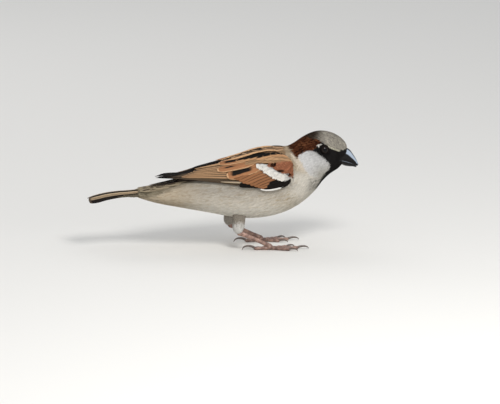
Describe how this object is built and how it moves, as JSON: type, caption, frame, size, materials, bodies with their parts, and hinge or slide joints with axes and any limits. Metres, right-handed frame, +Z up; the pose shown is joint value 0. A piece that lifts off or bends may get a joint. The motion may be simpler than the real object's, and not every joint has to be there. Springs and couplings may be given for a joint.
{
  "type": "male house sparrow model",
  "caption": "Life-size still model of a male house sparrow standing on both feet, body level, wings folded, head up with the bill turned slightly down.",
  "frame": {"origin": "centre of the bounding box, on the floor plane under the soles", "axes": "+X along the body towards the bill, +Y to the bird's left, +Z up"},
  "size_m": [0.1514, 0.0378, 0.0637],
  "materials": {
    "grey_feathers": "soft matt feathers",
    "brown_feathers": "soft matt feathers, rufous and black",
    "tail_feathers": "matt feathers",
    "bill_horn": "satin horn",
    "eye": "wet gloss",
    "leg_skin": "scaled skin, semi-matt",
    "claw_horn": "satin horn"
  },
  "bodies": {
    "root": {"bill_lower": "bill_horn", "bill_upper": "bill_horn", "claw_hind_left": "claw_horn", "claw_hind_right": "claw_horn", "claw_inner_left": "claw_horn", "claw_inner_right": "claw_horn", "claw_middle_left": "claw_horn", "claw_middle_right": "claw_horn", "claw_outer_left": "claw_horn", "claw_outer_right": "claw_horn", "eye_left": "eye", "eye_right": "eye", "head": "grey_feathers", "neck": "grey_feathers", "shank_left": "leg_skin", "shank_right": "leg_skin", "tail": "tail_feathers", "thigh_left": "grey_feathers", "thigh_right": "grey_feathers", "toe_hind_left": "leg_skin", "toe_hind_right": "leg_skin", "toe_inner_left": "leg_skin", "toe_inner_right": "leg_skin", "toe_middle_left": "leg_skin", "toe_middle_right": "leg_skin", "toe_outer_left": "leg_skin", "toe_outer_right": "leg_skin", "trunk": "grey_feathers", "wing_left": "brown_feathers", "wing_right": "brown_feathers"}
  },
  "joints": []
}
